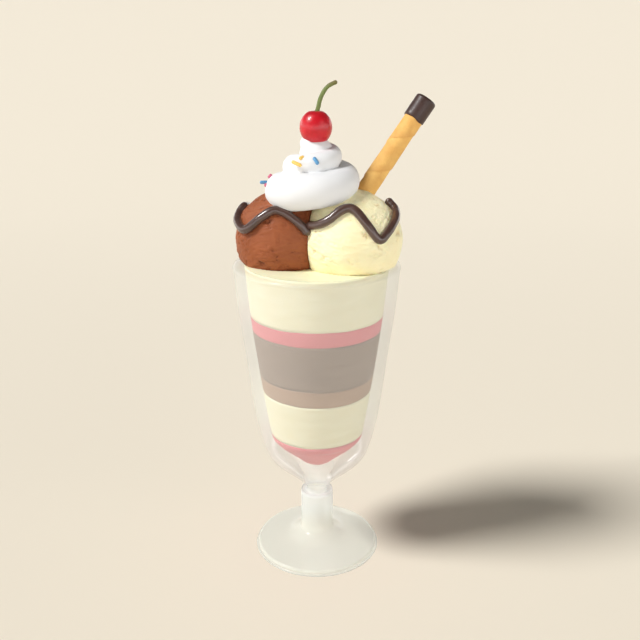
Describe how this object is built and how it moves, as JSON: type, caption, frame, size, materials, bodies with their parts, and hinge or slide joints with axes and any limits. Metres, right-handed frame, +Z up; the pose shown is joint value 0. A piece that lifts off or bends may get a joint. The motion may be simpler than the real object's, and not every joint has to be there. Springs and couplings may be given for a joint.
{
  "type": "ice cream sundae",
  "caption": "Ice cream sundae in a tall footed glass: layered ice cream, scoops, piped cream, cherry with stalk, rolled wafer dipped in chocolate, zigzag chocolate sauce.",
  "frame": {"origin": "centre of the foot's flat underside, which rests on the table", "axes": "+Z up along the glass's axis; +X towards the side the wafer leans out on; -Y is the front, with the chocolate scoop on the left"},
  "size_m": [0.1083, 0.092, 0.2731],
  "materials": {
    "glass": "polished",
    "strawberry": "soft satin ice cream",
    "vanilla": "soft satin ice cream",
    "caramel": "soft satin ice cream",
    "chocolate_cream": "soft satin ice cream",
    "chocolate_ice": "matte ice cream",
    "vanilla_ice": "matte ice cream",
    "whipped_cream": "soft satin cream",
    "cherry": "glossy, syrup-coated",
    "stalk": "satin",
    "wafer": "baked, matte",
    "dark_chocolate": "glossy",
    "chocolate_sauce": "glossy"
  },
  "bodies": {
    "root": {"glass": "glass", "layer_1_strawberry": "strawberry", "layer_2_vanilla": "vanilla", "layer_3_caramel": "caramel", "layer_4_chocolate": "chocolate_cream", "layer_5_strawberry": "strawberry", "layer_6_vanilla": "vanilla", "scoop_chocolate": "chocolate_ice", "scoop_vanilla": "vanilla_ice", "whipped_cream": "whipped_cream", "cherry": "cherry", "cherry_stalk": "stalk", "wafer_stick": "wafer", "wafer_dip": "dark_chocolate", "sauce_left": "chocolate_sauce", "sauce_right": "chocolate_sauce"}
  },
  "joints": []
}
